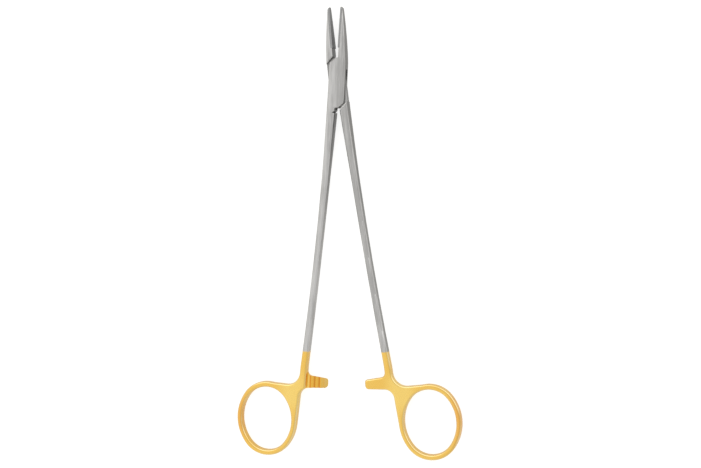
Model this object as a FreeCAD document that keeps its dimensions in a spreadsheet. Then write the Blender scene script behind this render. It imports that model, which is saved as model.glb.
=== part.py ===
import FreeCAD, Part
import math
import os
import re
import Sketcher

# Surgical needle holder with a box lock, finger rings, a three-tooth ratchet and hard-metal jaw inserts.
# Each half is drawn closed, with the pivot axis on Z, and then turned open and lifted onto its underside.
# +Y runs from the pivot to the jaw tips and +Z points up from the side that the tool lies on.

SIZES = {
    # the opening shown, from jaw face to jaw face
    "open_angle": 8.6,
    # box lock
    "box_width": 7.7,
    "box_reach": 11.25,
    "box_thickness": 5.8,
    "box_end_slope": 41.8,
    "box_end_start": 0.97,
    "tenon_thickness": 2.4,
    "tenon_play": 0.04,
    "slot_slant": 24,
    "slot_play": 0.12,
    "shoulder_gap": 0.1,
    "plate_bevel": 0.3,
    "shoulder_bevel": 0.45,
    "crotch_round": 0.4,
    "box_lead": 1.75,
    # jaws
    "jaw_length": 34.1,
    "jaw_root_dip": 2,
    "jaw_root_width": 3.85,
    "jaw_tip_width": 1.08,
    "jaw_bow": 0.12,
    "jaw_tip_thickness": 2.8,
    # hard-metal inserts
    "insert_length": 18.4,
    "insert_thickness": 0.95,
    "insert_proud": 0.37,
    "face_gap": 0.03,
    # shanks, at the box, half way and at the rings
    "shank_start_offset": 2.14,
    "shank_start_width": 3.95,
    "shank_middle_offset": 5.38,
    "shank_middle_width": 3.0,
    "shank_end_rise": 8.95,
    "shank_end_offset": 10.0,
    "shank_end_width": 3.3,
    "shank_taper_end": 42,
    "handle_thickness": 4.2,
    "profile_ease": 4,
    "edge_round": 1.1,
    "blank_round": 1.4,
    # finger rings
    "ring_step": 17.0,
    "ring_drop": 155.1,
    "ring_hole_length": 29.4,
    "ring_hole_width": 23.8,
    "ring_end_inset": 1.45,
    "ring_bar": 2.45,
    "ring_tilt": 3,
    "web_dip": 0.55,
    "web_slope_rise": 0.35,
    "web_step": 0.55,
    "web_round": 6.2,
    "web_ring_round": 8,
    "web_lean": 4.5,
    # ratchet
    "lug_rise": 1.5,
    "lug_root_depth": 5.6,
    "lug_tip_depth": 4.3,
    "lug_reach": 1.2,
    "lug_head_round": 2.2,
    "lug_foot_round": 4.4,
    "lug_tip_head_round": 1.2,
    "lug_tip_foot_round": 1.6,
    "lug_side_step": 0.4,
    "lug_root_step": 0.1,
    "lug_pass": 0.1,
    "tooth_pitch": 2.14,
    "tooth_height": 0.9,
    "tooth_rake": 12,
    "tooth_count": 3,
    "tooth_lead": 1.6,
    # pivot pin
    "pin_diameter": 2.5,
    "pin_head_diameter": 3.3,
    "pin_head_depth": 0.5,
    "pin_play": 0.04,
}

doc = FreeCAD.newDocument("needle_holder")
sheet = doc.addObject("Spreadsheet::Sheet", "sizes")
for row, (alias, number) in enumerate(SIZES.items(), start=1):
    sheet.set(f"A{row}", alias)
    sheet.set(f"B{row}", str(number))
    sheet.setAlias(f"B{row}", alias)
doc.recompute()

MIDDLE = "box_thickness / 2"
# how far a cutting outline runs past the metal, and how near an edge lies to where it is looked for
PAST = 5
NEAR = 0.02


def bound(text):
    """The expression with each size name pointed at its cell."""
    return re.sub(r"[a-z_]+", lambda name: "sizes." + name[0] if name[0] in SIZES else name[0], text)


def value(text):
    return float(sheet.evalExpression(bound(text)))


def origin_plane(body, role):
    return next(feature for feature in body.Origin.OriginFeatures if feature.Role == role)


def new_body(name):
    body = doc.addObject("PartDesign::Body", name)
    body.Label = name
    return body


def new_sketch(body, name, role="XY_Plane", height=None):
    """A sketch on one of the body's own origin planes, moved off it where a height is given."""
    sketch = body.newObject("Sketcher::SketchObject", name)
    sketch.AttachmentSupport = [(origin_plane(body, role), "")]
    sketch.MapMode = "FlatFace"
    if height is not None:
        sketch.setExpression(".AttachmentOffset.Base.z", bound(height))
    return sketch


def pin_point(sketch, geometry, end, x, y):
    """Holds one sketch point at a place given by two expressions."""
    for kind, text in (("DistanceX", x), ("DistanceY", y)):
        index = sketch.addConstraint(Sketcher.Constraint(kind, -1, 1, geometry, end, value(text)))
        sketch.setExpression(f"Constraints[{index}]", bound(text))


def draw(sketch, steps):
    """A closed outline. A step is (x, y), or (x, y, through_x, through_y) where an arc leads to x, y."""
    places = [FreeCAD.Vector(value(step[0]), value(step[1]), 0) for step in steps]
    first = None
    before = None
    for number, step in enumerate(steps):
        start = places[number - 1]
        end = places[number]
        if len(step) == 4:
            through = FreeCAD.Vector(value(step[2]), value(step[3]), 0)
            geometry = sketch.addGeometry(Part.Arc(start, through, end), False)
            marker = sketch.addGeometry(Part.Point(through), True)
            pin_point(sketch, marker, 1, step[2], step[3])
            sketch.addConstraint(Sketcher.Constraint("PointOnObject", marker, 1, geometry))
        else:
            geometry = sketch.addGeometry(Part.LineSegment(start, end), False)
        forward = sketch.getPoint(geometry, 1).distanceToPoint(start) < 1e-6
        head, tail = ((geometry, 1), (geometry, 2)) if forward else ((geometry, 2), (geometry, 1))
        if before is None:
            first = head
        else:
            sketch.addConstraint(Sketcher.Constraint("Coincident", *before, *head))
        pin_point(sketch, *tail, step[0], step[1])
        before = tail
    sketch.addConstraint(Sketcher.Constraint("Coincident", *before, *first))


def draw_circle(sketch, x, y, diameter):
    circle = Part.Circle(FreeCAD.Vector(value(x), value(y), 0), FreeCAD.Vector(0, 0, 1), value(diameter) / 2)
    geometry = sketch.addGeometry(circle, False)
    pin_point(sketch, geometry, 3, x, y)
    index = sketch.addConstraint(Sketcher.Constraint("Diameter", geometry, value(diameter)))
    sketch.setExpression(f"Constraints[{index}]", bound(diameter))


def pad(body, name, sketch, length):
    feature = body.newObject("PartDesign::Pad", name)
    feature.Profile = sketch
    feature.setExpression("Length", bound(length))
    doc.recompute()
    return feature


def cut(body, name, sketch, length=None, both_sides=False, reverse=False):
    """A pocket, right through where no length is given. It has to meet the solid."""
    before = body.Shape.Volume
    feature = body.newObject("PartDesign::Pocket", name)
    feature.Profile = sketch
    if length is None:
        feature.Type = "ThroughAll"
    else:
        feature.setExpression("Length", bound(length))
    feature.Midplane = both_sides
    feature.Reversed = reverse
    doc.recompute()
    if abs(body.Shape.Volume - before) < 1e-4:
        raise ValueError(f"{body.Label}: {name} takes nothing away")
    return feature


def round_off(body, name, radius, chosen):
    """Fillets the edges of the body so far for which chosen(edge, faces) is true."""
    base = body.Tip
    shape = base.Shape
    names = []
    for number, edge in enumerate(shape.Edges, start=1):
        if chosen(edge, shape.ancestorsOfType(edge, Part.Face)):
            names.append(f"Edge{number}")
    if not names:
        raise ValueError(f"{body.Label}: {name} finds no edge")
    feature = body.newObject("PartDesign::Fillet", name)
    feature.Base = (base, names)
    feature.setExpression("Radius", bound(radius))
    doc.recompute()
    return feature


def upright(face):
    u0, u1, v0, v1 = face.ParameterRange
    return abs(face.normalAt((u0 + u1) / 2, (v0 + v1) / 2).z) < NEAR


def is_upright_edge_at(edge, x, y):
    ends = [vertex.Point for vertex in edge.Vertexes]
    return len(ends) == 2 and all(math.hypot(end.x - x, end.y - y) < NEAR for end in ends)


def is_rim(edge, faces):
    """An edge between the side wall of a plate and its top or underside."""
    return len(faces) == 2 and upright(faces[0]) != upright(faces[1])


# the jaw's outer side is one long arc, from the box to the tip
JAW_MIDDLE_Y = "(jaw_length + box_reach) / 2"
JAW_MIDDLE_X = "((jaw_root_width + jaw_tip_width) / 2 + jaw_bow)"


# stations along the tool, measured from the pivot, and the ring's distance to the side
BOX_END = "(box_reach + box_lead)"
RING_TOP = "(ring_drop - ring_hole_length / 2 - ring_bar)"
WEB_DROP = f"({RING_TOP} + web_dip)"
LUG_DROP = f"({RING_TOP} - lug_rise)"
SHANK_END = f"({RING_TOP} - shank_end_rise)"
SHANK_MIDDLE = f"(({BOX_END} + {SHANK_END}) / 2)"
RING_OFFSET = "(shank_end_offset + ring_step)"


def shank_edge(place, sign):
    """The across position of the shank's outer (+) or inner (-) side at one of its three stations."""
    return f"(shank_{place}_offset + {sign} * shank_{place}_width / 2)"


# the oval of a finger ring: two end arcs and two flatter side arcs, all tangent
HALF_LENGTH = "ring_hole_length / 2"
HALF_WIDTH = "ring_hole_width / 2"
END_RADIUS = f"({HALF_WIDTH} - ring_end_inset)"
SIDE_RADIUS = (f"((({HALF_LENGTH}) ^ 2 + ({HALF_WIDTH}) ^ 2 - 2 * ({HALF_LENGTH}) * {END_RADIUS})"
               f" / (2 * ring_end_inset))")
END_CENTRE = f"({HALF_LENGTH} - {END_RADIUS})"
SIDE_CENTRE = f"({SIDE_RADIUS} - {HALF_WIDTH})"
JOIN_ANGLE = f"atan({END_CENTRE} / {SIDE_CENTRE})"


def turned(side, x, y):
    """A point given from the ring's centre along its tilted axes, in the plane of the half."""
    across = f"({side} * (0 - {RING_OFFSET} + ({x}) * cos(ring_tilt) - ({y}) * sin(ring_tilt)))"
    along = f"(0 - ring_drop + ({x}) * sin(ring_tilt) + ({y}) * cos(ring_tilt))"
    return across, along


def oval(side, grow):
    """The ring's outline, grown outward by an amount."""
    end = f"({END_RADIUS} + {grow})"
    join_x = f"({end} * cos({JOIN_ANGLE}))"
    join_y = f"({END_CENTRE} + {end} * sin({JOIN_ANGLE}))"
    top = f"({HALF_LENGTH} + {grow})"
    flank = f"({HALF_WIDTH} + {grow})"
    return [
        (*turned(side, join_x, f"0 - {join_y}"), *turned(side, "0", f"0 - {top}")),
        (*turned(side, join_x, join_y), *turned(side, flank, "0")),
        (*turned(side, f"0 - {join_x}", join_y), *turned(side, "0", top)),
        (*turned(side, f"0 - {join_x}", f"0 - {join_y}"), *turned(side, f"0 - {flank}", "0")),
    ]


# the web leaves the ring's inner flank along a straight tangent, up to the foot of the ratchet lug
FLANK_RADIUS = f"({SIDE_RADIUS} + ring_bar)"
FLANK_X = f"(0 - {RING_OFFSET} - {SIDE_CENTRE} * cos(ring_tilt) + {FLANK_RADIUS} * cos(web_lean))"
FLANK_Y = f"(0 - ring_drop - {SIDE_CENTRE} * sin(ring_tilt) - {FLANK_RADIUS} * sin(web_lean))"
LUG_FOOT = f"({LUG_DROP} + lug_root_depth / 2)"
LUG_HEAD = f"({LUG_DROP} - lug_root_depth / 2)"
FOOT_END_Y = f"(0 - {LUG_FOOT} - lug_foot_round)"
FOOT_END_X = f"({FLANK_X} + tan(web_lean) * ({FOOT_END_Y} - {FLANK_Y}))"
FOOT_CENTRE_X = f"({FOOT_END_X} + lug_foot_round)"
FOOT_MIDDLE_X = f"({FOOT_CENTRE_X} - lug_foot_round * cos(45))"
FOOT_MIDDLE_Y = f"({FOOT_END_Y} + lug_foot_round * sin(45))"
PLATE_SIDE_X = f"(0 - {shank_edge('end', '-1')} - lug_side_step)"
PLATE_FOOT_Y = f"({FOOT_END_Y} + sqrt(lug_foot_round ^ 2 - ({PLATE_SIDE_X} - {FOOT_CENTRE_X}) ^ 2))"
PLATE_ARC_X = f"({FOOT_END_X} + ({PLATE_SIDE_X} - {FOOT_END_X}) / 4)"
PLATE_ARC_Y = f"({FOOT_END_Y} + sqrt(lug_foot_round ^ 2 - ({PLATE_ARC_X} - {FOOT_CENTRE_X}) ^ 2))"
WEB_CORNER_X = f"(0 - {shank_edge('end', '1')} - web_step)"


def add_jaw_side(side):
    """The steps up the outer side of the jaw and across its tip, on the blank."""
    return [
        (f"{side} * box_width / 2", "0"),
        (f"{side} * jaw_root_width", "box_reach - jaw_root_dip"),
        (f"{side} * jaw_tip_width", "jaw_length", f"{side} * {JAW_MIDDLE_X}", JAW_MIDDLE_Y),
        (f"0 - {side} * box_width / 2", "jaw_length"),
    ]


def build_blank(body, side):
    """The forging before the box is cut: jaw, box, shank, web and ring. side is +1 with the jaw at +X."""
    def outer(place):
        return f"0 - {side} * {shank_edge(place, '1')}"

    def inner(place):
        return f"0 - {side} * {shank_edge(place, '-1')}"

    outline = new_sketch(body, f"{body.Label}_outline")
    draw(outline, add_jaw_side(side) + [
        (f"0 - {side} * box_width / 2", "0"),
        (outer("start"), f"0 - {BOX_END}"),
        (outer("end"), f"0 - {SHANK_END}", outer("middle"), f"0 - {SHANK_MIDDLE}"),
        (f"{side} * {WEB_CORNER_X}", f"0 - {WEB_DROP}"),
        (f"0 - {side} * {RING_OFFSET}", f"0 - {WEB_DROP} + web_slope_rise"),
        (f"0 - {side} * {RING_OFFSET}", "0 - ring_drop"),
        (f"{side} * {FLANK_X}", FLANK_Y),
        (f"{side} * {FOOT_END_X}", FOOT_END_Y),
        (f"{side} * {PLATE_SIDE_X}", PLATE_FOOT_Y, f"{side} * {PLATE_ARC_X}", PLATE_ARC_Y),
        (inner("end"), f"0 - {SHANK_END}"),
        (inner("start"), f"0 - {BOX_END}", inner("middle"), f"0 - {SHANK_MIDDLE}"),
        (inner("start"), "0 - box_reach"),
        (f"{side} * box_width / 2", "0 - box_reach"),
    ])
    pad(body, f"{body.Label}_forging", outline, "box_thickness")
    ring = new_sketch(body, f"{body.Label}_ring_outline")
    draw(ring, oval(side, "ring_bar"))
    pad(body, f"{body.Label}_ring", ring, "box_thickness")
    round_blank_corners(body, side)
    hole = new_sketch(body, f"{body.Label}_ring_hole_outline")
    draw(hole, oval(side, "0"))
    cut(body, f"{body.Label}_ring_hole", hole, reverse=True)
    thin_blank(body)
    build_lug(body, side)
    level = value(lug_crest(side))
    round_off(body, f"{body.Label}_edges", "edge_round",
           lambda edge, faces: is_rim(edge, faces) and abs(edge.CenterOfMass.z - level) > NEAR)


def round_blank_corners(body, side):
    """Rounds the corners of the plate that stand upright, so that its rim is smooth all the way round."""
    def corner(name, size, *places):
        spots = [(value(x), value(y)) for x, y in places]
        round_off(body, f"{body.Label}_{name}", size,
               lambda edge, faces: any(is_upright_edge_at(edge, x, y) for x, y in spots))

    corner("blank_corners", "blank_round",
           (f"{side} * jaw_tip_width", "jaw_length"),
           (f"{side} * box_width / 2", "0 - box_reach"),
           (f"{side} * {PLATE_SIDE_X}", PLATE_FOOT_Y))
    corner("web_corner", "web_round", (f"{side} * {WEB_CORNER_X}", f"0 - {WEB_DROP}"))
    corner("crotch_corner", "crotch_round",
           (f"0 - {side} * {shank_edge('start', '-1')}", "0 - box_reach"))
    meeting = web_meets_ring(side)
    round_off(body, f"{body.Label}_web_to_ring", "web_ring_round",
           lambda edge, faces: is_upright_edge_at(edge, *meeting))


def web_meets_ring(side):
    """Where the web's upper edge runs into the outer end arc of the ring."""
    start = FreeCAD.Vector(value(f"{side} * {WEB_CORNER_X}"), value(f"0 - {WEB_DROP}"), 0)
    end = FreeCAD.Vector(value(f"0 - {side} * {RING_OFFSET}"), value(f"0 - {WEB_DROP} + web_slope_rise"), 0)
    centre = FreeCAD.Vector(*(value(text) for text in turned(side, "0", END_CENTRE)), 0)
    radius = value(f"{END_RADIUS} + ring_bar")
    way = (end - start).normalize()
    along = (centre - start).dot(way)
    foot = start + way * along
    spot = foot - way * math.sqrt(radius ** 2 - (centre - foot).Length ** 2)
    return spot.x, spot.y


def thin_blank(body):
    """Gives the blank its side view: thick at the box, thinner along the shank and towards the jaw tip."""
    handle = "handle_thickness / 2"
    tip = "jaw_tip_thickness / 2"
    ease = "profile_ease"
    corner = f"({BOX_END} + {ease})"
    jaw_slope = f"atan(({MIDDLE} - {tip}) / (jaw_length - {corner}))"
    shank_slope = f"atan(({MIDDLE} - {handle}) / (shank_taper_end - {corner}))"

    def bend(corner_y, corner_z, slope, towards):
        """The arc that eases one corner of the side view: its two ends and the point half way."""
        flat = (f"({corner_y} - {towards} * {ease})", corner_z)
        sloped = (f"({corner_y} + {towards} * {ease} * cos({slope}))", f"({corner_z} - {ease} * sin({slope}))")
        half = f"({slope} / 2)"
        sag = f"({ease} * tan({half} / 2))"
        middle = (f"({corner_y} - {towards} * {sag} * sin({half}))", f"({corner_z} - {sag} * cos({half}))")
        return flat, sloped, middle

    jaw_flat, jaw_sloped, jaw_middle = bend(corner, MIDDLE, jaw_slope, "1")
    box_flat, box_sloped, box_middle = bend(f"0 - {corner}", MIDDLE, shank_slope, "-1")
    low_flat = (f"(0 - shank_taper_end - {ease})", handle)
    low_sloped = (f"(0 - shank_taper_end + {ease} * cos({shank_slope}))", f"({handle} + {ease} * sin({shank_slope}))")
    low_sag = f"({ease} * tan({shank_slope} / 4))"
    low_middle = (f"(0 - shank_taper_end + {low_sag} * sin({shank_slope} / 2))",
                  f"({handle} + {low_sag} * cos({shank_slope} / 2))")
    past_tip = f"(jaw_length + {PAST})"
    past_ring = f"(0 - ring_drop - ring_hole_length / 2 - ring_bar - {PAST})"
    for sign, name in (("1", "top"), ("-1", "underside")):
        def place(point):
            return point[0], f"{MIDDLE} + {sign} * ({point[1]})"

        profile = new_sketch(body, f"{body.Label}_{name}_profile", "YZ_Plane")
        draw(profile, [
            (past_tip, f"{MIDDLE} + {sign} * ({tip} - {PAST} * tan({jaw_slope}))"),
            place(jaw_sloped),
            place(jaw_flat) + place(jaw_middle),
            place(box_flat),
            place(box_sloped) + place(box_middle),
            place(low_sloped),
            place(low_flat) + place(low_middle),
            (past_ring, f"{MIDDLE} + {sign} * {handle}"),
            (past_ring, f"{MIDDLE} + {sign} * box_thickness"),
            (past_tip, f"{MIDDLE} + {sign} * box_thickness"),
        ])
        cut(body, f"{body.Label}_{name}", profile, both_sides=True)


def end_height(x, gap):
    """The along position of the slanting end of a box plate, or of the shoulder that faces it."""
    slope = "tan(box_end_slope)"
    return f"(box_reach + (({x}) + box_end_start) * {slope} + ({gap}) / cos(box_end_slope))"


JAW_INNER = "(face_gap + insert_proud)"


def strip_edge(y, play):
    """The across position of the slanting slot's far wall, or of the tenon's flank, at a height."""
    return f"((box_width / 2 + {play} - ({y}) * sin(slot_slant)) / cos(slot_slant))"


def build_box_half():
    """The half with the right jaw and the left shank, whose box the other half passes through."""
    body = new_body("box_half")
    build_blank(body, "1")
    wide = "box_width"
    front = new_sketch(body, "box_front_end")
    draw(front, [
        (JAW_INNER, f"jaw_length + {PAST}"),
        (f"0 - {wide}", f"jaw_length + {PAST}"),
        (f"0 - {wide}", end_height(f"0 - {wide}", "0")),
        ("0 - box_end_start", end_height("0 - box_end_start", "0")),
        (f"{JAW_INNER} - crotch_round", "box_reach"),
        (JAW_INNER, "box_reach + crotch_round",
         f"{JAW_INNER} - crotch_round * (1 - sin(45))", "box_reach + crotch_round * (1 - cos(45))"),
    ])
    cut(body, "box_front", front, reverse=True)
    rear = new_sketch(body, "box_rear_end")
    below = "(shoulder_gap + crotch_round + box_end_start)"
    draw(rear, [
        (wide, f"0 - {end_height(f'0 - {wide}', '0')}"),
        (f"0 - {below}", f"0 - {end_height(below, '0')}"),
        (wide, f"0 - {end_height(below, '0')}"),
    ])
    cut(body, "box_rear", rear, reverse=True)
    slot = new_sketch(body, "slot_outline", height=MIDDLE)
    high = "(box_reach + box_width)"
    draw(slot, [
        (strip_edge(high, "slot_play"), high),
        (f"{strip_edge(high, 'slot_play')} - 2 * box_width", high),
        (f"0 - {strip_edge(high, 'slot_play')}", f"0 - {high}"),
        (f"2 * box_width - {strip_edge(high, 'slot_play')}", f"0 - {high}"),
    ])
    cut(body, "slot", slot, "tenon_thickness + 2 * tenon_play", both_sides=True)
    bevel_ends(body, "plate_bevel", "0", "1")
    finish_half(body, "1")
    return body


def build_tenon_half():
    """The half with the left jaw and the right shank, joined by the tenon inside the box."""
    body = new_body("tenon_half")
    build_blank(body, "-1")
    wide = "box_width"
    neck_y = (f"((box_reach + box_end_start * tan(box_end_slope) + shoulder_gap / cos(box_end_slope))"
              f" + tan(box_end_slope) * (box_width / 2) / cos(slot_slant))"
              f" / (1 + tan(box_end_slope) * tan(slot_slant))")
    neck_x = strip_edge(neck_y, "0")
    past_tip = f"(jaw_length + {PAST})"
    inner = f"(0 - {JAW_INNER})"
    past_crotch = "(box_width / 2)"
    ends = {
        "front": ("1", [(inner, past_tip), (inner, end_height(inner, "shoulder_gap"))], past_tip),
        "rear": ("-1", [(past_crotch, end_height(past_crotch, "shoulder_gap"))],
                 end_height(past_crotch, "shoulder_gap")),
    }
    for name, (sign, start, far) in ends.items():
        flank = new_sketch(body, f"{name}_flank")
        corners = start + [
            (neck_x, neck_y),
            (strip_edge("0 - pin_head_diameter", "0"), "0 - pin_head_diameter"),
            (f"2 * {wide}", "0 - pin_head_diameter"),
            (f"2 * {wide}", far),
        ]
        draw(flank, [(f"{sign} * {x}", f"{sign} * ({y})") for x, y in corners])
        cut(body, f"{name}_flank_cut", flank, reverse=True)
    for name, level, reverse in (("top", f"{MIDDLE} + tenon_thickness / 2", True),
                                 ("underside", f"{MIDDLE} - tenon_thickness / 2", False)):
        cheek = new_sketch(body, f"tenon_{name}_outline", height=level)
        draw(cheek, [
            (wide, end_height(wide, "shoulder_gap")),
            (f"0 - {wide}", end_height(f"0 - {wide}", "shoulder_gap")),
            (f"0 - {wide}", f"0 - {end_height(wide, 'shoulder_gap')}"),
            (wide, f"0 - {end_height(f'0 - {wide}', 'shoulder_gap')}"),
        ])
        cut(body, f"tenon_{name}", cheek, reverse=reverse)
    bevel_ends(body, "shoulder_bevel", "shoulder_gap", "-1")
    finish_half(body, "-1")
    return body


def bevel_ends(body, size, gap, facing):
    """Breaks the outer edges of the slanting plate ends (facing 1), or of the shoulders they meet (facing -1)."""
    for end, sign in (("front", "1"), ("rear", "-1")):
        for name, level, up in (("top", "box_thickness", "1"), ("underside", "0", "-1")):
            across = new_sketch(body, f"{end}_{name}_bevel_profile", "XZ_Plane")
            across.AttachmentOffset = FreeCAD.Placement(
                FreeCAD.Vector(0, 0, 0), FreeCAD.Rotation(FreeCAD.Vector(0, 1, 0), 0))
            across.setExpression(".AttachmentOffset.Base.x", bound(f"0 - {sign} * box_end_start"))
            across.setExpression(".AttachmentOffset.Base.z",
                                 bound(f"0 - {sign} * {end_height('0 - box_end_start', gap)}"))
            across.setExpression(".AttachmentOffset.Rotation.Angle", bound(f"{sign} * 90 + box_end_slope"))
            doc.recompute()
            draw(across, [
                (f"0 - {facing} * 2 * {size}", f"{level} + {up} * {size}"),
                (f"{facing} * {size}", f"{level} - {up} * 2 * {size}"),
                (f"{facing} * {size}", f"{level} + {up} * {size}"),
            ])
            cut(body, f"{end}_{name}_bevel", across, both_sides=facing == "-1")


def finish_half(body, side):
    """What the two halves share: the seat of the insert, the ratchet teeth and the pin's hole."""
    seat = new_sketch(body, f"{body.Label}_seat_outline")
    draw(seat, [
        (f"{side} * (face_gap + insert_thickness)", "jaw_length - insert_length"),
        (f"{side} * (face_gap + insert_thickness)", f"jaw_length + {PAST}"),
        (f"0 - {side} * {PAST}", f"jaw_length + {PAST}"),
        (f"0 - {side} * {PAST}", "jaw_length - insert_length"),
    ])
    cut(body, f"{body.Label}_seat", seat, reverse=True)
    cut_teeth(body, side)
    hole = new_sketch(body, f"{body.Label}_bore_outline")
    draw_circle(hole, "0", "0", "pin_diameter" if side == "1" else "pin_diameter + 2 * pin_play")
    cut(body, f"{body.Label}_bore", hole, reverse=True)
    if side == "1":
        for name in ("top", "underside"):
            build_countersink(body, name)


def build_countersink(body, name):
    """A conical seat for the pin's flush head, turned about the pivot axis."""
    sign = "1" if name == "top" else "-1"
    face = f"{MIDDLE} + {sign} * {MIDDLE}"
    profile = new_sketch(body, f"countersink_{name}_profile", "XZ_Plane")
    draw(profile, [
        ("0", face),
        ("pin_head_diameter / 2", face),
        ("pin_diameter / 2", f"{face} - {sign} * pin_head_depth"),
        ("0", f"{face} - {sign} * pin_head_depth"),
    ])
    before = body.Shape.Volume
    groove = body.newObject("PartDesign::Groove", f"countersink_{name}")
    groove.Profile = profile
    groove.ReferenceAxis = (profile, ["V_Axis"])
    groove.Angle = 360
    doc.recompute()
    if abs(body.Shape.Volume - before) < 1e-4:
        raise ValueError(f"countersink_{name} takes nothing away")


def lug_crest(side):
    """The height of the tooth tips. The box half's lug lies low, teeth up, and the other's high, teeth down."""
    return f"({MIDDLE} - {side} * lug_pass / 2)"


def build_lug(body, side):
    """The ratchet lug before its teeth are cut, half as thick as the shank that it grows from."""
    thickness = "((handle_thickness - lug_pass) / 2)"
    base = f"({MIDDLE} - handle_thickness / 2)" if side == "1" else lug_crest(side)
    outline = new_sketch(body, f"{body.Label}_lug_outline", height=base)
    head_y = f"(0 - {LUG_HEAD})"
    shank_x = f"(0 - {shank_edge('end', '-1')} - lug_root_step)"
    inside_x = "(0 - shank_end_offset)"
    tip_head = f"(0 - {LUG_DROP} + lug_tip_depth / 2)"
    tip_foot = f"(0 - {LUG_DROP} - lug_tip_depth / 2)"
    corner = "(1 - sin(45)) * lug_head_round"
    draw(outline, [
        (f"{side} * {inside_x}", f"{head_y} + lug_head_round"),
        (f"{side} * {shank_x}", f"{head_y} + lug_head_round"),
        (f"{side} * ({shank_x} + lug_head_round)", head_y,
         f"{side} * ({shank_x} + {corner})", f"{head_y} + {corner}"),
        (f"{side} * lug_reach", tip_head),
        (f"{side} * lug_reach", tip_foot),
        (f"{side} * {FOOT_CENTRE_X}", f"0 - {LUG_FOOT}"),
        (f"{side} * {FOOT_END_X}", FOOT_END_Y, f"{side} * {FOOT_MIDDLE_X}", FOOT_MIDDLE_Y),
        (f"{side} * ({FOOT_END_X} - lug_side_step)", FOOT_END_Y),
    ])
    pad(body, f"{body.Label}_lug", outline, thickness)
    for name, corner_y, size in (("head", tip_head, "lug_tip_head_round"), ("foot", tip_foot, "lug_tip_foot_round")):
        spot = value(f"{side} * lug_reach"), value(corner_y)
        round_off(body, f"{body.Label}_lug_tip_{name}", size,
               lambda edge, faces: is_upright_edge_at(edge, *spot))


def cut_teeth(body, side):
    """Saw teeth across the lug, steep towards the lug's own shank."""
    crest = lug_crest(side)
    valley = f"({crest} - {side} * tooth_height)"
    lean = "tooth_height * tan(tooth_rake)"
    across = "2 * lug_root_depth"
    above = f"{crest} + {side} * tooth_height"
    profile = new_sketch(body, f"{body.Label}_lead_profile", "XZ_Plane", height=LUG_DROP)
    draw(profile, [
        (f"{side} * (lug_reach + tooth_lead)", above),
        (f"{side} * (lug_reach + tooth_lead)", valley),
        (f"{side} * lug_reach", valley),
        (f"{side} * (lug_reach - tooth_lead)", crest),
        (f"{side} * (lug_reach - tooth_lead)", above),
    ])
    cut(body, f"{body.Label}_lug_lead", profile, across, both_sides=True)
    for number in range(int(value("tooth_count"))):
        crest_x = f"(lug_reach - tooth_lead - tooth_pitch * {number})"
        notch = new_sketch(body, f"{body.Label}_notch_profile_{number + 1}", "XZ_Plane", height=LUG_DROP)
        draw(notch, [
            (f"{side} * {crest_x}", crest),
            (f"{side} * ({crest_x} + {lean})", valley),
            (f"{side} * ({crest_x} - tooth_pitch)", crest),
        ])
        cut(body, f"{body.Label}_notch_{number + 1}", notch, across, both_sides=True)


def build_insert(name, side):
    """A hard-metal insert, brazed into its seat and ground flush with the jaw around it."""
    body = new_body(name)
    outline = new_sketch(body, f"{name}_outline")
    draw(outline, add_jaw_side(side) + [(f"0 - {side} * box_width / 2", "0")])
    pad(body, f"{name}_blank", outline, "box_thickness")
    spot = value(f"{side} * jaw_tip_width"), value("jaw_length")
    round_off(body, f"{name}_tip", "blank_round",
           lambda edge, faces: is_upright_edge_at(edge, *spot))
    thin_blank(body)
    round_off(body, f"{name}_edges", "edge_round",
           lambda edge, faces: is_rim(edge, faces) and edge.CenterOfMass.y > NEAR)
    back = f"{side} * (face_gap + insert_thickness)"
    below = f"0 - {PAST}"
    past_tip = f"jaw_length + {PAST}"
    for label, near, far in (("back", back, f"{side} * box_width"),
                             ("face", f"{side} * face_gap", f"0 - {side} * box_width")):
        trim = new_sketch(body, f"{name}_{label}_outline")
        draw(trim, [(near, below), (far, below), (far, past_tip), (near, past_tip)])
        cut(body, f"{name}_{label}", trim, reverse=True)
    trim = new_sketch(body, f"{name}_heel_outline")
    heel = "jaw_length - insert_length"
    draw(trim, [("0 - box_width", below), ("box_width", below), ("box_width", heel), ("0 - box_width", heel)])
    cut(body, f"{name}_heel", trim, reverse=True)
    return body


def build_pin():
    """The pivot pin, with a conical head peened flush at each end."""
    body = new_body("pivot_pin")
    profile = new_sketch(body, "pin_profile", "XZ_Plane")
    draw(profile, [
        ("pin_head_diameter / 2", "0"),
        ("pin_diameter / 2", "pin_head_depth"),
        ("pin_diameter / 2", "box_thickness - pin_head_depth"),
        ("pin_head_diameter / 2", "box_thickness"),
        ("0", "box_thickness"),
        ("0", "0"),
    ])
    turn = body.newObject("PartDesign::Revolution", "pin_turned")
    turn.Profile = profile
    turn.ReferenceAxis = (profile, ["V_Axis"])
    turn.Angle = 360
    doc.recompute()
    return body


def open_by(body, sign):
    """Turns a half about the pivot, from closed to the opening shown."""
    body.Placement = FreeCAD.Placement(FreeCAD.Vector(0, 0, 0), FreeCAD.Rotation(FreeCAD.Vector(0, 0, 1), 0))
    body.setExpression(".Placement.Rotation.Angle", bound(f"{sign} * open_angle / 2"))


box_half = build_box_half()
tenon_half = build_tenon_half()
box_insert = build_insert("box_jaw_insert", "1")
tenon_insert = build_insert("tenon_jaw_insert", "-1")
pivot_pin = build_pin()
for piece in (box_half, box_insert):
    open_by(piece, "-1")
for piece in (tenon_half, tenon_insert):
    open_by(piece, "1")
doc.recompute()

pieces = [box_half, tenon_half, box_insert, tenon_insert, pivot_pin]
for thing in doc.Objects:
    if "Invalid" in thing.State or "Error" in thing.State:
        raise ValueError(f"{thing.Name} failed: {thing.State}")
for piece in pieces:
    if piece.Shape.isNull() or not piece.Shape.isValid() or len(piece.Shape.Solids) != 1:
        raise ValueError(f"{piece.Label} is not one valid solid")

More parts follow.
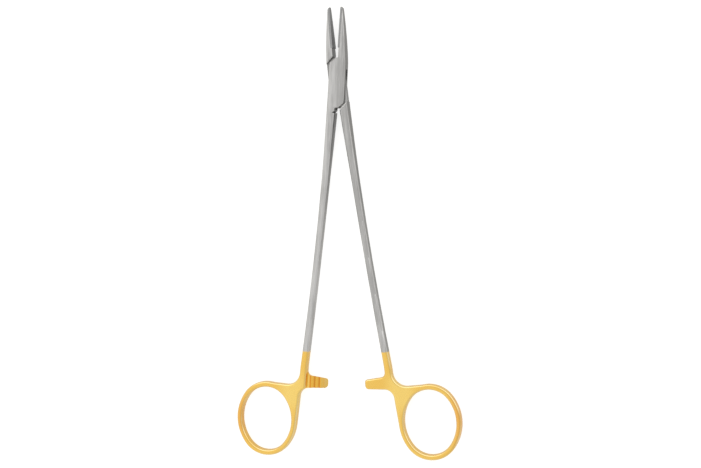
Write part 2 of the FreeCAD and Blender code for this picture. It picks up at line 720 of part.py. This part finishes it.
os.makedirs("parts", exist_ok=True)
for piece in pieces:
    piece.Shape.exportStep(f"parts/{piece.Label}.step")
    box = piece.Shape.BoundBox
    print(piece.Label, round(piece.Shape.Volume, 2), [round(size, 2) for size in (box.XLength, box.YLength, box.ZLength)])
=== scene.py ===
import math

import bpy
from mathutils import Matrix, Vector

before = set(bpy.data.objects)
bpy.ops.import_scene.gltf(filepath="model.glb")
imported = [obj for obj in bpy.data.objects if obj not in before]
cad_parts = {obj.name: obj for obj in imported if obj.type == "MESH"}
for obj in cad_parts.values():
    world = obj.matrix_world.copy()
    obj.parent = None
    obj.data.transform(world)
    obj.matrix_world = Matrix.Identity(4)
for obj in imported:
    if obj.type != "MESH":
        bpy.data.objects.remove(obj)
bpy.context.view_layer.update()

MILLIMETRE = 0.001
WHITE = (1, 1, 1, 1)


def mm(*lengths):
    """Lengths given in millimetres, in metres."""
    return tuple(length * MILLIMETRE for length in lengths)


# The halves stand open by this much each, so their own outline runs true once they are turned back.
HALF_OPENING = math.radians(4.3)

# Places are measured from the pivot in a closed half, and a pair is where something fades in or out.
# where the plating starts down the shank, how blurred its edge is and how far the edge wanders
PLATING_START, PLATING_BLUR, PLATING_WANDER = mm(122.3, 0.35, 0.8)
# the ring's outer bar, which gets painted shade, and the web between ring and shank
OUTER_BAR = mm(35, 40)
WEB_ACROSS, WEB_DOWN = mm(15, 141)
WEB_HALF_WIDTH = mm(2, 9)
WEB_HALF_HEIGHT = mm(4, 12)
# the ratchet lug and its teeth, whose flanks get painted shade down to each valley
LUG_DOWN, FIRST_VALLEY, TOOTH_PITCH = mm(136.45, 0.4, 2.14)
LUG_TIP = mm(1.5, 2.4)
LUG_ROOT = mm(7, 8)
LUG_HALF_HEIGHT = mm(4, 5)
TOOTH_FLANK = (0.35, 0.95)
# painted shade darkens the upright sides from the shank to the box, and painted light pales the top left
# of the pivot and on the jaws
SIDE_SHADE_FADE = mm(-85, -40)
LEFT_LIGHT_FADE = mm(-3, 3)
JAW_LIGHT_FADE = mm(12, 18)
# the milled step of the tenon, which gets painted shade, and the way its lower shoulder's bevel faces,
# where a highlight is painted
STEP_TOP = mm(4.2, 4.4)
STEP_START = mm(0, 3)
STEP_END = mm(11.5, 12.5)
SHOULDER_BEVEL = (-0.47, 0.53, 0.707)
BEVEL_MATCH = (0.93, 0.98)
BEVEL_REACH = mm(-30, -20)
HATCH_PITCH = 0.5 * MILLIMETRE

# patterns of noise: how fine, how detailed and how stretched along each axis
GRAIN = {"scale": 900, "detail": 4, "stretch": (4, 0.2, 4), "roughness": 0.6}
STREAK = {"scale": 800, "stretch": (1, 0.06, 1)}
CLOUD = {"scale": 160, "detail": 3, "stretch": (1.5, 0.6, 1.5)}
SCRATCH = {"scale": 7000, "stretch": (1, 0.03, 1)}
SPECK = {"scale": 3500}
WANDER = {"scale": 900}
SHEEN = {"scale": 90}
GRIT = {"scale": 2500, "detail": 3}
FIBRE = {"scale": 400, "detail": 3}
# the range that most noises fill, and where a scratch stands out of its noise
NOISE_RANGE = (0.3, 0.7)
SCRATCH_RANGE = (0.62, 0.75)
SCUFF_RANGE = (0.6, 0.75)
# bumps: how high they are and how strong
GRAIN_BUMP = (0.012 * MILLIMETRE, 0.6)
SPECK_BUMP = (0.006 * MILLIMETRE, 0.5)
SCRATCH_BUMP = (0.002 * MILLIMETRE, 0.3)
HATCH_BUMP = (0.12 * MILLIMETRE, 1.0)
GRIT_BUMP = (0.006 * MILLIMETRE, 0.5)

# the upright part of a face's normal: where a side ends, and where the top begins
LEAVES_SIDE = (0.3, 0.55)
REACHES_TOP = (0.75, 0.95)
# the same for the sides, the tenon's step and the teeth, which get painted shade, and across for the
# gripping faces, which get painted shade and the hatch
SHADED_SIDE = (0.2, 0.75)
STEP_LEVEL = (0.8, 0.95)
TOOTH_LEVEL = (0.2, 0.5)
GRIP_FACING = (0.8, 0.95)

# the photograph's viewing angle, found from the visible side faces
CAMERA_TILT = math.radians(15.65)
CAMERA_PITCH = math.radians(-2.85)
CAMERA_ROLL = math.radians(-1.64)
CAMERA_OFFSET = Vector((4.9, -67.945, 580)) * MILLIMETRE
FOCAL_PIXELS = 1284.4
PICTURE_WIDTH = 701
SENSOR_WIDTH = 36

STEEL = (0.6, 0.592, 0.578)
STEEL_DULL = (0.43, 0.424, 0.412)
# worn scratches and edges; on the edges the pale tone is also painted highlight
STEEL_WEAR_AND_HIGHLIGHT = (0.76, 0.752, 0.735)
# painted shade on the upright sides and on the tenon's step
STEEL_SHADED = (0.27, 0.266, 0.258)
# painted highlight on the shoulder's bevel
STEEL_HIGHLIGHT = (0.97, 0.96, 0.94)
GOLD = (0.9, 0.565, 0.125)
GOLD_PALE = (0.96, 0.69, 0.2)
# worn edges, also painted highlight
GOLD_WEAR_AND_HIGHLIGHT = (0.98, 0.82, 0.46)
# painted shade on the ring's outer bar
GOLD_SHADED = (0.86, 0.42, 0.1)
# lit and shaded tones of the teeth: painted light and shade
TOOTH_GOLD_LIT = (1.0, 0.56, 0.09)
TOOTH_GOLD_SHADED = (0.72, 0.25, 0.02)
CARBIDE = (0.38, 0.38, 0.376)
CARBIDE_DARK = tuple(0.85 * part for part in CARBIDE)
# painted shade on the gripping face, deeper in its grooves
CARBIDE_FACE_SHADED = (0.31, 0.31, 0.307)
CARBIDE_GROOVE_SHADED = tuple(0.7 * part for part in CARBIDE_FACE_SHADED)
PAPER = (0.46, 0.45, 0.43)
PAPER_DARK = (0.42, 0.41, 0.39)

# roughness from the low end of a pattern to its high end
STEEL_ROUGHNESS = (0.44, 0.36)
GOLD_ROUGHNESS = (0.11, 0.16)
CARBIDE_ROUGHNESS = (0.38, 0.5)
# what scratches add on the gold, and what the shoulder's bevel adds
SCRATCH_ROUGHNESS = 0.06
BEVEL_ROUGHNESS = 0.25
# how much of the steel's grain the plating hides
PLATING_HIDES = 0.9

FLOOR_HALF_WIDTH = 3.0
FLOOR_DROP = 0.02 * MILLIMETRE
# the floor's own light, towards the camera and towards what reflects it
FLOOR_GLOW_SEEN = 0.78
FLOOR_GLOW_MIRRORED = 0.45

# the light tent near the horizon and on the right, where one is overhead and on the left
HORIZON = (0.0, 0.35)
HORIZON_LIGHT = 0.7
ACROSS_TENT = (-0.6, 0.6)
RIGHT_LIGHT = 0.76
# the soft strip beyond the jaws: where it starts sideways, its foot, its head and its light
STRIP_SIDE = (0.25, 0.6)
STRIP_FOOT = (0.08, 0.2)
STRIP_HEAD = (0.5, 0.65)
STRIP_LIGHT = 0.65


class Nodes:
    """The node tree of a material or the world, with short calls for the nodes used here."""

    def __init__(self, owner):
        owner.use_nodes = True
        self.owner = owner
        self.tree = owner.node_tree
        self.shader = self.tree.nodes.get("Principled BSDF")

    def add(self, kind, inputs=(), **settings):
        node = self.tree.nodes.new(kind)
        for key, setting in settings.items():
            setattr(node, key, setting)
        for key, given in dict(inputs).items():
            self.set(node.inputs[key], given)
        return node

    def set(self, socket, given):
        if isinstance(given, bpy.types.NodeSocket):
            self.tree.links.new(given, socket)
        else:
            socket.default_value = given

    def maths(self, operation, first, second=0.0, third=0.0):
        inputs = {0: first, 1: second, 2: third}
        return self.add("ShaderNodeMath", inputs, operation=operation).outputs[0]

    def product(self, first, *others):
        for other in others:
            first = self.maths("MULTIPLY", first, other)
        return first

    def blend(self, factor, first, second):
        """Mixes two colours."""
        node = self.add("ShaderNodeMix", data_type="RGBA")
        colours = [(*c, 1) if isinstance(c, tuple) and len(c) == 3 else c for c in (first, second)]
        self.set(node.inputs["Factor"], factor)
        self.set(node.inputs[6], colours[0])
        self.set(node.inputs[7], colours[1])
        return node.outputs[2]

    def ramp(self, value, low, high, out_low=0.0, out_high=1.0):
        """Maps a value's range to another, held at both ends and eased between them."""
        inputs = {"Value": value, "From Min": low, "From Max": high,
                  "To Min": out_low, "To Max": out_high}
        return self.add("ShaderNodeMapRange", inputs, interpolation_type="SMOOTHSTEP").outputs["Result"]

    def fall(self, value, low, high, out_low=1.0):
        """Like ramp, but down to nought."""
        return self.ramp(value, low, high, out_low, 0.0)

    def noise(self, vector, scale, detail=2.0, stretch=(1.0, 1.0, 1.0), roughness=0.5):
        scaled = self.add("ShaderNodeMapping", {"Vector": vector, "Scale": stretch}).outputs["Vector"]
        inputs = {"Vector": scaled, "Scale": scale, "Detail": detail, "Roughness": roughness}
        return self.add("ShaderNodeTexNoise", inputs).outputs["Fac"]

    def bump(self, height, distance, strength, normal=None):
        node = self.add("ShaderNodeBump", {"Height": height, "Distance": distance, "Strength": strength})
        if normal is not None:
            self.set(node.inputs["Normal"], normal)
        return node.outputs["Normal"]

    def place(self, turn=0.0):
        """The point in the object's own space, turned about the pivot."""
        point = self.add("ShaderNodeTexCoord").outputs["Object"]
        inputs = {"Vector": point, "Rotation": (0, 0, turn)}
        return self.add("ShaderNodeMapping", inputs).outputs["Vector"]

    def parts(self, vector):
        """The X, Y and Z outputs of a vector."""
        return self.add("ShaderNodeSeparateXYZ", {"Vector": vector}).outputs

    def normal(self):
        return self.add("ShaderNodeTexCoord").outputs["Normal"]

    def ray(self, kind):
        return self.add("ShaderNodeLightPath").outputs[kind]


def edge_wear_and_highlight(n):
    """One on rounded edges, nought on the flat top and on upright faces; the pale tone it brings is
    partly wear and partly painted highlight.
    """
    level = n.maths("ABSOLUTE", n.parts(n.normal())["Z"])
    return n.product(n.ramp(level, *LEAVES_SIDE), n.fall(level, *REACHES_TOP))


def plating_tone(n, side, place, sheen):
    """Gold, worn pale along its edges, where the pale is also painted highlight, with painted shade
    deeper on the ring's outer bar and deepest between the teeth.
    """
    across = n.maths("MULTIPLY", place["X"], float(-side))
    # painted shade on the ring's outer bar
    outer_bar_shade = n.ramp(across, *OUTER_BAR)
    web_across = n.maths("ABSOLUTE", n.maths("SUBTRACT", across, WEB_ACROSS))
    web_down = n.maths("ABSOLUTE", n.maths("ADD", place["Y"], WEB_DOWN))
    on_web = n.product(n.fall(web_across, *WEB_HALF_WIDTH),
                       n.fall(web_down, *WEB_HALF_HEIGHT, out_low=0.8))
    tone = n.blend(n.maths("ADD", on_web, n.ramp(sheen, 0.35, 0.7, 0.0, 0.2)), GOLD, GOLD_PALE)
    tone = n.blend(n.maths("MULTIPLY", outer_bar_shade, 0.6), tone, GOLD_SHADED)
    # pale edges: partly wear, partly painted highlight
    tone = n.blend(n.product(edge_wear_and_highlight(n), n.ramp(sheen, 0.3, 0.6, 0.25, 0.75)), tone, GOLD_WEAR_AND_HIGHLIGHT)

    # painted shade: each tooth's flank darkens down to its valley
    from_valley = n.maths("MULTIPLY_ADD", across, 1 / TOOTH_PITCH, -FIRST_VALLEY / TOOTH_PITCH)
    down_flank = n.maths("SUBTRACT", 1.0, n.maths("FRACT", from_valley))
    tooth_shade_tone = n.blend(n.ramp(down_flank, *TOOTH_FLANK), TOOTH_GOLD_LIT, TOOTH_GOLD_SHADED)
    off_middle = n.maths("ABSOLUTE", n.maths("ADD", place["Y"], LUG_DOWN))
    on_lug = n.product(n.ramp(across, *LUG_TIP), n.fall(across, *LUG_ROOT),
                       n.fall(off_middle, *LUG_HALF_HEIGHT))
    toothed_face = n.ramp(n.maths("MULTIPLY", n.parts(n.normal())["Z"], float(side)), *TOOTH_LEVEL)
    return n.blend(n.product(on_lug, toothed_face), tone, tooth_shade_tone)


def satin_steel(n, point, place, shank_side_shade=0.2):
    """Steel brushed along the tool: its colour, roughness, and the heights of its grain and scratches.
    Its colour has painted light, paler on the top left of the pivot and on the jaws, and painted shade,
    darker on the upright sides towards the box.

    shank_side_shade is how much of the painted shade on the sides is left down by the plating.
    """
    grain = n.noise(point, **GRAIN)
    streak = n.noise(point, **STREAK)
    cloud = n.noise(point, **CLOUD)
    scratch = n.noise(point, **SCRATCH)
    fine = n.maths("MULTIPLY_ADD", cloud, 0.2, n.maths("MULTIPLY", grain, 0.3))
    satin_and_light = n.maths("MULTIPLY_ADD", streak, 0.5, fine)
    # painted light: the top pales left of the pivot and towards the jaws
    satin_and_light = n.maths("ADD", satin_and_light, n.ramp(place["X"], *LEFT_LIGHT_FADE, 0.06, -0.06))
    satin_and_light = n.maths("ADD", satin_and_light, n.ramp(place["Y"], *JAW_LIGHT_FADE, 0.0, 0.05))
    steel = n.blend(n.ramp(satin_and_light, 0.38, 0.62), STEEL_DULL, STEEL)
    steel = n.blend(n.ramp(scratch, *SCRATCH_RANGE, 0.0, 0.35), steel, STEEL_WEAR_AND_HIGHLIGHT)
    # pale edges: partly wear, partly painted highlight
    steel = n.blend(n.product(edge_wear_and_highlight(n), n.ramp(streak, 0.3, 0.6, 0.15, 0.5)), steel, STEEL_WEAR_AND_HIGHLIGHT)
    # painted shade: upright sides darker, fading down the shank
    upright = n.fall(n.maths("ABSOLUTE", n.parts(n.normal())["Z"]), *SHADED_SIDE)
    side_shade_strength = n.ramp(place["Y"], *SIDE_SHADE_FADE, shank_side_shade, 1.0)
    steel = n.blend(n.product(upright, side_shade_strength), steel, STEEL_SHADED)
    return steel, n.ramp(satin_and_light, *NOISE_RANGE, *STEEL_ROUGHNESS), grain, scratch


def tenon_shade_and_highlight(n, place, steel, roughness):
    """Paints shade on the milled step beside the box's upper end and paints a highlight on the lower
    shoulder's bevel.
    """
    normal = n.normal()
    # painted shade on the milled step
    low = n.product(n.ramp(n.parts(normal)["Z"], *STEP_LEVEL), n.fall(place["Z"], *STEP_TOP))
    beside_box = n.product(n.ramp(place["Y"], *STEP_START), n.fall(place["Y"], *STEP_END))
    steel = n.blend(n.product(low, beside_box, 0.8), steel, STEEL_SHADED)
    # painted highlight on the lower shoulder's bevel
    inputs = {0: normal, 1: SHOULDER_BEVEL}
    toward = n.add("ShaderNodeVectorMath", inputs, operation="DOT_PRODUCT").outputs["Value"]
    bevel = n.product(n.ramp(toward, *BEVEL_MATCH), n.ramp(place["Y"], *BEVEL_REACH))
    steel = n.blend(bevel, steel, STEEL_HIGHLIGHT)
    return steel, n.maths("MULTIPLY_ADD", bevel, BEVEL_ROUGHNESS, roughness)


def forged_half(name, side, shank_side_shade):
    """Satin steel, gold-plated from part way down the shank, with painted light and shade in both. side
    is +1 with the shank at -X.
    """
    n = Nodes(bpy.data.materials.new(name))
    point = n.place(side * HALF_OPENING)
    place = n.parts(point)
    wander = n.noise(point, **WANDER)
    edge = n.maths("MULTIPLY_ADD", wander, PLATING_WANDER, place["Y"])
    start = PLATING_WANDER / 2 - PLATING_START
    plated = n.fall(edge, start - PLATING_BLUR, start + PLATING_BLUR)

    steel, steel_rough, grain, scratch = satin_steel(n, point, place, shank_side_shade)
    if side < 0:
        steel, steel_rough = tenon_shade_and_highlight(n, place, steel, steel_rough)
    speck = n.noise(point, **SPECK)
    sheen = n.noise(point, **SHEEN)
    gold = plating_tone(n, side, place, sheen)
    n.set(n.shader.inputs["Base Color"], n.blend(plated, steel, gold))
    n.shader.inputs["Metallic"].default_value = 1

    scuffed = n.ramp(scratch, *SCUFF_RANGE, 0.0, SCRATCH_ROUGHNESS)
    gold_rough = n.maths("ADD", n.ramp(sheen, *NOISE_RANGE, *GOLD_ROUGHNESS), scuffed)
    apart = n.maths("SUBTRACT", gold_rough, steel_rough)
    n.set(n.shader.inputs["Roughness"], n.maths("MULTIPLY_ADD", apart, plated, steel_rough))
    bare = n.maths("SUBTRACT", 1.0, n.maths("MULTIPLY", plated, PLATING_HIDES))
    brushed = n.bump(n.product(grain, bare), *GRAIN_BUMP)
    blasted = n.bump(n.product(speck, bare), *SPECK_BUMP, normal=brushed)
    n.set(n.shader.inputs["Normal"], n.bump(scratch, *SCRATCH_BUMP, normal=blasted))
    return n.owner


def carbide(name, side):
    """Dull grey hard metal, with a cross-hatch of fine grooves on the gripping face, where painted shade
    darkens the face and its grooves more.
    """
    n = Nodes(bpy.data.materials.new(name))
    point = n.place(side * HALF_OPENING)
    place = n.parts(point)
    on_face = n.ramp(n.maths("ABSOLUTE", n.parts(n.normal())["X"]), *GRIP_FACING)
    radians_per_metre = 2 * math.pi / (HATCH_PITCH * math.sqrt(2))
    grooves = []
    for sign in (1, -1):
        slanted = n.maths("MULTIPLY_ADD", place["Z"], float(sign), place["Y"])
        wave = n.maths("SINE", n.maths("MULTIPLY", slanted, radians_per_metre))
        grooves.append(n.ramp(wave, -1.0, 0.2))
    hatch = n.product(*grooves)
    grit = n.noise(point, **GRIT)
    colour = n.blend(n.ramp(grit, *NOISE_RANGE), CARBIDE, CARBIDE_DARK)
    # painted shade on the gripping face, deeper in the hatch's grooves
    gripping = n.blend(hatch, CARBIDE_GROOVE_SHADED, CARBIDE_FACE_SHADED)
    n.set(n.shader.inputs["Base Color"], n.blend(on_face, colour, gripping))
    n.shader.inputs["Metallic"].default_value = 1
    n.set(n.shader.inputs["Roughness"], n.ramp(grit, *NOISE_RANGE, *CARBIDE_ROUGHNESS))
    carved = n.bump(n.product(hatch, on_face), *HATCH_BUMP)
    n.set(n.shader.inputs["Normal"], n.bump(grit, *GRIT_BUMP, normal=carved))
    return n.owner


def pin_steel(name):
    """The same satin steel as around it, painted light and shade included, so that the flush head is
    hard to see.
    """
    n = Nodes(bpy.data.materials.new(name))
    point = n.place(HALF_OPENING)
    steel, roughness, grain, scratch = satin_steel(n, point, n.parts(point))
    n.set(n.shader.inputs["Base Color"], steel)
    n.shader.inputs["Metallic"].default_value = 1
    n.set(n.shader.inputs["Roughness"], roughness)
    brushed = n.bump(grain, *GRAIN_BUMP)
    n.set(n.shader.inputs["Normal"], n.bump(scratch, *SCRATCH_BUMP, normal=brushed))
    return n.owner


def dress(node, material):
    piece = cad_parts[node]
    for slot in piece.material_slots:
        slot.material = material
    if not piece.material_slots:
        piece.data.materials.append(material)


# the last number is how much of the painted shade on the sides is left down by the plating
dress("box_half", forged_half("box_half_finish_and_painted_light", 1, 0.2))
dress("tenon_half", forged_half("tenon_half_finish_and_painted_light", -1, 0.6))
dress("box_jaw_insert", carbide("box_insert_finish_and_painted_shade", 1))
dress("tenon_jaw_insert", carbide("tenon_insert_finish_and_painted_shade", -1))
dress("pivot_pin", pin_steel("pin_finish_and_painted_light"))


def add_floor():
    """A wide pale floor that looks white to the camera and keeps the soft shadow."""
    mesh = bpy.data.meshes.new("floor")
    signs = [(-1, -1), (1, -1), (1, 1), (-1, 1)]
    corners = [(x * FLOOR_HALF_WIDTH, y * FLOOR_HALF_WIDTH, -FLOOR_DROP) for x, y in signs]
    mesh.from_pydata(corners, [], [(0, 1, 2, 3)])
    floor = bpy.data.objects.new("floor", mesh)
    bpy.context.collection.objects.link(floor)
    n = Nodes(bpy.data.materials.new("floor_paper"))
    n.set(n.shader.inputs["Base Color"], n.blend(n.noise(n.place(), **FIBRE), PAPER, PAPER_DARK))
    n.shader.inputs["Roughness"].default_value = 0.9
    n.shader.inputs["Specular IOR Level"].default_value = 0.1
    n.shader.inputs["Emission Color"].default_value = WHITE
    seen = n.maths("MULTIPLY", n.ray("Is Camera Ray"), FLOOR_GLOW_SEEN)
    glow = n.maths("MULTIPLY_ADD", n.ray("Is Glossy Ray"), FLOOR_GLOW_MIRRORED, seen)
    n.set(n.shader.inputs["Emission Strength"], glow)
    mesh.materials.append(n.owner)


def add_world():
    """A light tent, brighter on the left, with a broad soft strip low beyond the jaws."""
    world = bpy.data.worlds.new("studio")
    bpy.context.scene.world = world
    n = Nodes(world)
    way = n.parts(n.add("ShaderNodeTexCoord").outputs["Generated"])
    overhead = n.ramp(way["Z"], *HORIZON, HORIZON_LIGHT, 1.0)
    tent = n.product(overhead, n.ramp(way["X"], *ACROSS_TENT, 1.0, RIGHT_LIGHT))
    toward_jaws = n.ramp(n.maths("MULTIPLY_ADD", way["X"], 0.3, way["Y"]), *STRIP_SIDE)
    band = n.product(n.ramp(way["Z"], *STRIP_FOOT), n.fall(way["Z"], *STRIP_HEAD))
    strip = n.product(band, toward_jaws, STRIP_LIGHT)
    lit = n.maths("ADD", tent, strip)
    white = n.maths("MULTIPLY_ADD", n.maths("SUBTRACT", 1.0, lit), n.ray("Is Camera Ray"), lit)
    n.set(n.tree.nodes["Background"].inputs["Strength"], white)
    n.tree.nodes["Background"].inputs["Color"].default_value = WHITE


def add_camera():
    """Looks from where the photograph was taken."""
    turn = (Matrix.Rotation(CAMERA_TILT, 3, "Y") @ Matrix.Rotation(CAMERA_PITCH, 3, "X")
            @ Matrix.Rotation(CAMERA_ROLL, 3, "Z"))
    data = bpy.data.cameras.new("camera")
    data.sensor_width = SENSOR_WIDTH
    data.lens = FOCAL_PIXELS * SENSOR_WIDTH / PICTURE_WIDTH
    data.clip_start = 0.01
    data.clip_end = 10
    camera = bpy.data.objects.new("camera", data)
    camera.matrix_world = Matrix.Translation(turn @ CAMERA_OFFSET) @ turn.to_4x4()
    bpy.context.collection.objects.link(camera)
    bpy.context.scene.camera = camera


add_floor()
add_world()
add_camera()
bpy.context.scene.view_settings.view_transform = "Standard"
